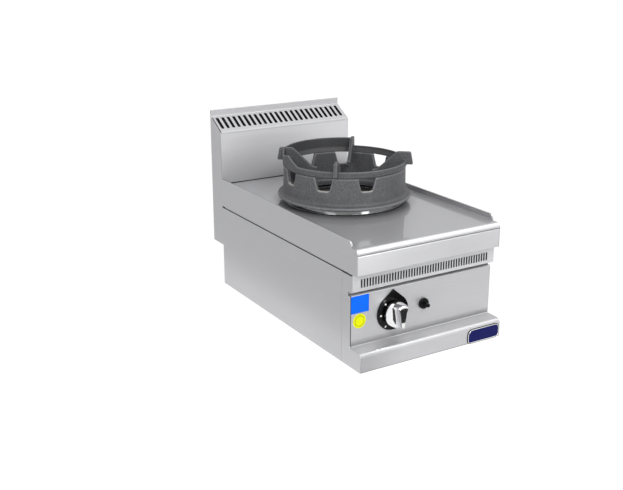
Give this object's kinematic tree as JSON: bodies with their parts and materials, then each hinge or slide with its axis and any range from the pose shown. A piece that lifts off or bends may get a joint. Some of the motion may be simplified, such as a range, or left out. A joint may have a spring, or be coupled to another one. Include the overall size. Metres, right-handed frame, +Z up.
{
  "type": "countertop wok range",
  "caption": "Countertop gas wok range: folded steel casing with a raised slotted flue, a cast wok stand with a fingered ring over its burner, a turn knob and a push igniter",
  "frame": {"origin": "middle of the footprint, on the surface that the range stands on", "axes": "+X right seen from the front, +Y towards the flue at the back, +Z up; the control panel faces -Y"},
  "size_m": [0.4, 0.73, 0.47],
  "materials": {
    "casing_steel": "satin stainless sheet",
    "hob_steel": "bright stainless sheet, slightly reflective",
    "frame_steel": "plain galvanised sheet",
    "cast_iron": "matt grey sand cast",
    "burner_steel": "plain steel",
    "brass": "turned brass",
    "copper": "drawn copper tube",
    "knob_chrome": "satin chrome",
    "black_gloss": "gloss black moulding",
    "black_enamel": "dark stove enamel on steel",
    "black_plastic": "black moulding",
    "ceramic": null,
    "lead_sleeve": "silicone sleeve",
    "fixings": "zinc plated"
  },
  "bodies": {
    "chassis": {"left_side_panel": "casing_steel", "right_side_panel": "casing_steel", "left_front_cheek": "casing_steel", "right_front_cheek": "casing_steel", "left_skirt": "casing_steel", "right_skirt": "casing_steel", "left_flue_side": "casing_steel", "right_flue_side": "casing_steel", "control_panel": "casing_steel", "vent_grille": "casing_steel", "front_fascia": "casing_steel", "splashback": "casing_steel", "worktop": "hob_steel", "hob_collar": "hob_steel", "base_tray": "frame_steel", "rear_panel": "frame_steel", "flue_back": "frame_steel", "flue_bottom": "frame_steel", "flue_duct": "frame_steel", "front_rail": "frame_steel", "left_side_rail": "frame_steel", "right_side_rail": "frame_steel", "burner_bracket": "frame_steel", "burner_body": "cast_iron", "pilot_bracket": "burner_steel", "supply_pipe": "burner_steel", "burner_pipe": "burner_steel", "thermocouple": "burner_steel", "gas_valve": "brass", "injector_holder": "brass", "injector": "brass", "inlet_nipple": "brass", "pilot_burner": "brass", "pilot_pipe": "copper", "thermocouple_lead": "copper", "knob_bezel": "black_gloss", "igniter_body": "black_plastic", "igniter_nut": "black_plastic", "spark_electrode": "ceramic", "ignition_lead": "lead_sleeve", "rear_screws": "fixings", "valve_screws": "fixings", "burner_screws": "fixings"},
    "wok_stand": {"wok_stand": "cast_iron"},
    "wok_ring": {"wok_ring": "cast_iron"},
    "burner_cap": {"burner_cap": "cast_iron"},
    "drip_bowl": {"drip_bowl": "black_enamel"},
    "air_shutter": {"air_shutter": "burner_steel"},
    "valve_push": {"valve_plunger": "brass"},
    "knob": {"knob": "knob_chrome", "valve_spindle": "brass"},
    "igniter_button": {"igniter_button": "black_plastic"}
  },
  "joints": [
    {"name": "stand_lift", "type": "slide", "parent": "chassis", "child": "wok_stand", "axis": [0, 0, 1], "range_m": [0, 0.12]},
    {"name": "ring_lift", "type": "slide", "parent": "wok_stand", "child": "wok_ring", "axis": [0, 0, 1], "range_m": [0, 0.08]},
    {"name": "cap_lift", "type": "slide", "parent": "chassis", "child": "burner_cap", "axis": [0, 0, 1], "range_m": [0, 0.06]},
    {"name": "bowl_lift", "type": "slide", "parent": "chassis", "child": "drip_bowl", "axis": [0, 0, 1], "range_m": [0, 0.014]},
    {"name": "shutter_turn", "type": "hinge", "parent": "chassis", "child": "air_shutter", "pos_m": [0, -0.2135, 0.226], "axis": [0, -1, 0], "range_deg": [0, 80]},
    {"name": "knob_push", "type": "slide", "parent": "chassis", "child": "valve_push", "axis": [0, 1, 0], "range_m": [0, 0.004], "stiffness_N_per_m": 1200, "springref_m": -0.002},
    {"name": "knob_turn", "type": "hinge", "parent": "valve_push", "child": "knob", "pos_m": [-0.0855, -0.33, 0.1075], "axis": [0, -1, 0], "range_deg": [0, 135]},
    {"name": "igniter_push", "type": "slide", "parent": "chassis", "child": "igniter_button", "axis": [0, 1, 0], "range_m": [0, 0.005], "stiffness_N_per_m": 1200, "springref_m": -0.002}
  ]
}
